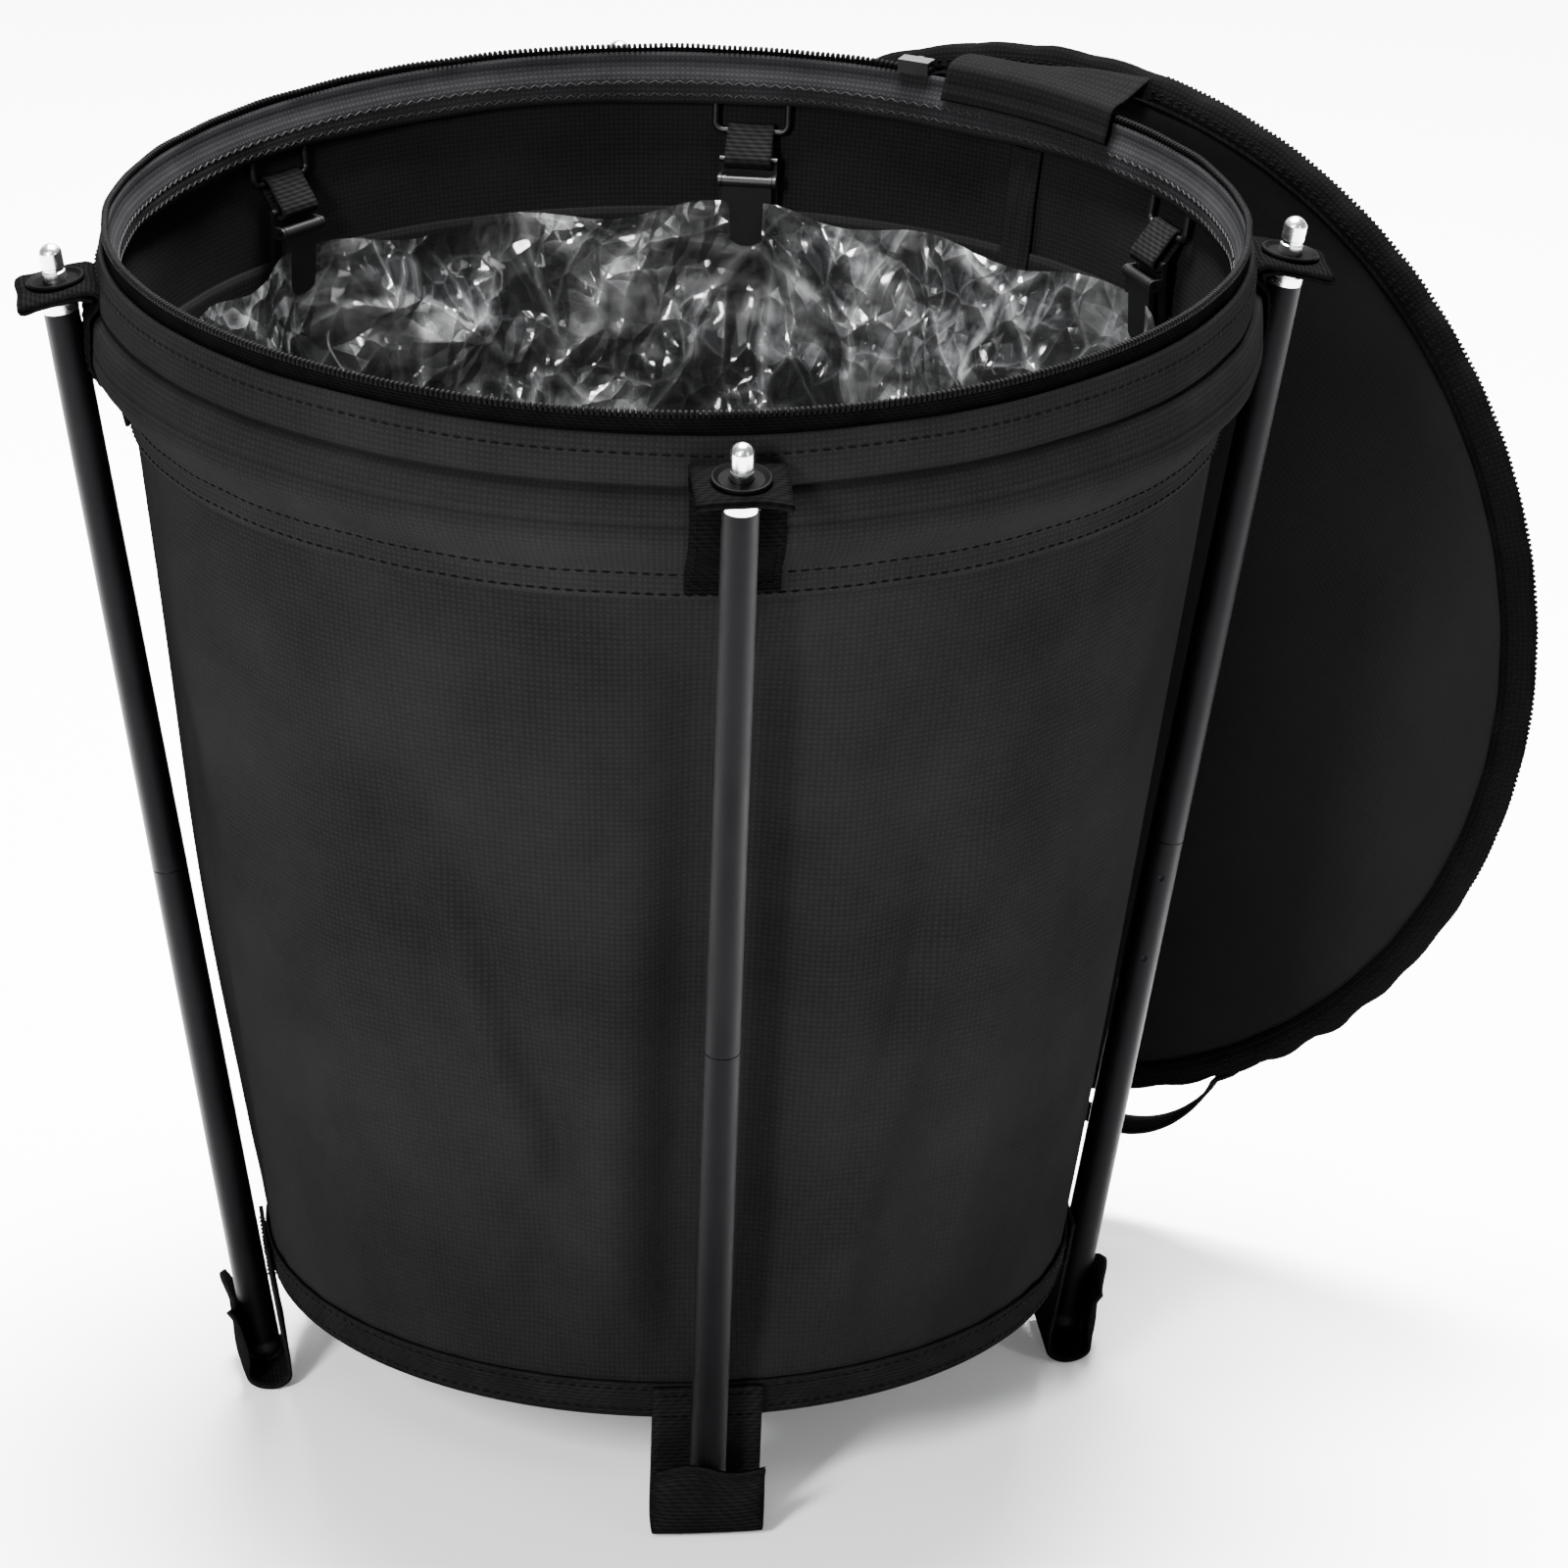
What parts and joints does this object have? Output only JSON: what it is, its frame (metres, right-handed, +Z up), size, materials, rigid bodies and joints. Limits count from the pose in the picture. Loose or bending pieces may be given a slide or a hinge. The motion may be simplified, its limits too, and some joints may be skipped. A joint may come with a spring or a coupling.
{
  "type": "bin bag holder",
  "caption": "Round tapered fabric bin hung inside splayed aluminium poles, with a zip-off fabric lid hanging at the back and a clear bag clipped inside its mouth.",
  "frame": {"origin": "on the floor under the middle of the bin, midway between the four feet", "axes": "+Z up along the bin's axis, -Y towards the front pole's side of the bin, +X to the right seen from the front"},
  "size_m": [0.5365, 0.4848, 0.454],
  "materials": {
    "panel_fabric": "matte coated black woven fabric",
    "collar_fabric": "matte black woven fabric, topstitched",
    "facing_fabric": "grey inner binding",
    "flap_fabric": "light grey woven fabric",
    "webbing": "black ribbed webbing",
    "zip_tape": "black zip tape with a moulded row of teeth",
    "hoop_wire": "glass-fibre rod",
    "pole_tube": "satin dark anodised tube",
    "pin_metal": "bright turned aluminium",
    "eyelet_metal": "black painted steel",
    "ring_wire": "black coated steel wire",
    "zip_metal": "black painted die-cast metal",
    "clip_plastic": "black moulded plastic",
    "cap_plastic": "dark grey moulded plastic",
    "floor_board": "fabric-covered stiff board",
    "bag_film": "thin clear crinkled film"
  },
  "bodies": {
    "bin": {"body_panel": "panel_fabric", "bottom_panel": "floor_board", "hem_binding": "panel_fabric", "collar": "collar_fabric", "top_hoop": "hoop_wire", "mouth_facing": "facing_fabric", "body_zip": "zip_tape", "pole_upper_front": "pole_tube", "pole_lower_front": "pole_tube", "tip_pin_front": "pin_metal", "tab_front": "webbing", "foot_pouch_front": "webbing", "pole_upper_right": "pole_tube", "pole_lower_right": "pole_tube", "tip_pin_right": "pin_metal", "tab_right": "webbing", "foot_pouch_right": "webbing", "pole_upper_back": "pole_tube", "pole_lower_back": "pole_tube", "tip_pin_back": "pin_metal", "tab_back": "webbing", "foot_pouch_back": "webbing", "pole_upper_left": "pole_tube", "pole_lower_left": "pole_tube", "tip_pin_left": "pin_metal", "tab_left": "webbing", "foot_pouch_left": "webbing", "pole_spigots": "pole_tube", "pole_foot_caps": "cap_plastic", "eyelets": "eyelet_metal", "flap_on_collar": "flap_fabric", "clip_rings": "ring_wire", "clip_pins": "pin_metal", "clip_strap_1": "webbing", "clip_back_1": "clip_plastic", "clip_strap_2": "webbing", "clip_back_2": "clip_plastic", "clip_strap_3": "webbing", "clip_back_3": "clip_plastic", "clip_strap_4": "webbing", "clip_back_4": "clip_plastic", "clip_strap_5": "webbing", "clip_back_5": "clip_plastic", "clip_strap_6": "webbing", "clip_back_6": "clip_plastic", "liner_bag": "bag_film"},
    "lid": {"lid_panel": "panel_fabric", "lid_band": "collar_fabric", "lid_zip": "zip_tape", "lid_handle": "webbing", "flap_on_lid": "flap_fabric"},
    "slider": {"zip_slider": "zip_metal"},
    "pull": {"zip_pull": "zip_metal"},
    "lever_1": {"clip_lever_1": "clip_plastic"},
    "lever_2": {"clip_lever_2": "clip_plastic"},
    "lever_3": {"clip_lever_3": "clip_plastic"},
    "lever_4": {"clip_lever_4": "clip_plastic"},
    "lever_5": {"clip_lever_5": "clip_plastic"},
    "lever_6": {"clip_lever_6": "clip_plastic"}
  },
  "joints": [
    {"name": "lid_hinge", "type": "hinge", "parent": "bin", "child": "lid", "pos_m": [0.11806, 0.16674, 0.4471], "axis": [0.8117, -0.5747, 0.1045], "range_deg": [0, 272]},
    {"name": "slider_travel", "type": "hinge", "parent": "bin", "child": "slider", "pos_m": [0, 0, 0.431], "axis": [0, 0, 1], "range_deg": [0, 331]},
    {"name": "pull_swing", "type": "hinge", "parent": "slider", "child": "pull", "pos_m": [0.08728, 0.1794, 0.431], "axis": [0.8992, -0.4375, 0], "range_deg": [0, 15]},
    {"name": "lever_1_opening", "type": "hinge", "parent": "bin", "child": "lever_1", "pos_m": [0.16371, 0.07634, 0.3845], "axis": [-0.4226, 0.9063, 0], "range_deg": [0, 95]},
    {"name": "lever_2_opening", "type": "hinge", "parent": "bin", "child": "lever_2", "pos_m": [0.02514, 0.17887, 0.3845], "axis": [-0.9903, 0.1392, 0], "range_deg": [0, 95]},
    {"name": "lever_3_opening", "type": "hinge", "parent": "bin", "child": "lever_3", "pos_m": [-0.13423, 0.12087, 0.3845], "axis": [-0.6691, -0.7431, 0], "range_deg": [0, 95]},
    {"name": "lever_4_opening", "type": "hinge", "parent": "bin", "child": "lever_4", "pos_m": [-0.16371, -0.07634, 0.3845], "axis": [0.4226, -0.9063, 0], "range_deg": [0, 95]},
    {"name": "lever_5_opening", "type": "hinge", "parent": "bin", "child": "lever_5", "pos_m": [-0.02514, -0.17887, 0.3845], "axis": [0.9903, -0.1392, 0], "range_deg": [0, 95]},
    {"name": "lever_6_opening", "type": "hinge", "parent": "bin", "child": "lever_6", "pos_m": [0.13423, -0.12087, 0.3845], "axis": [0.6691, 0.7431, 0], "range_deg": [0, 95]}
  ]
}
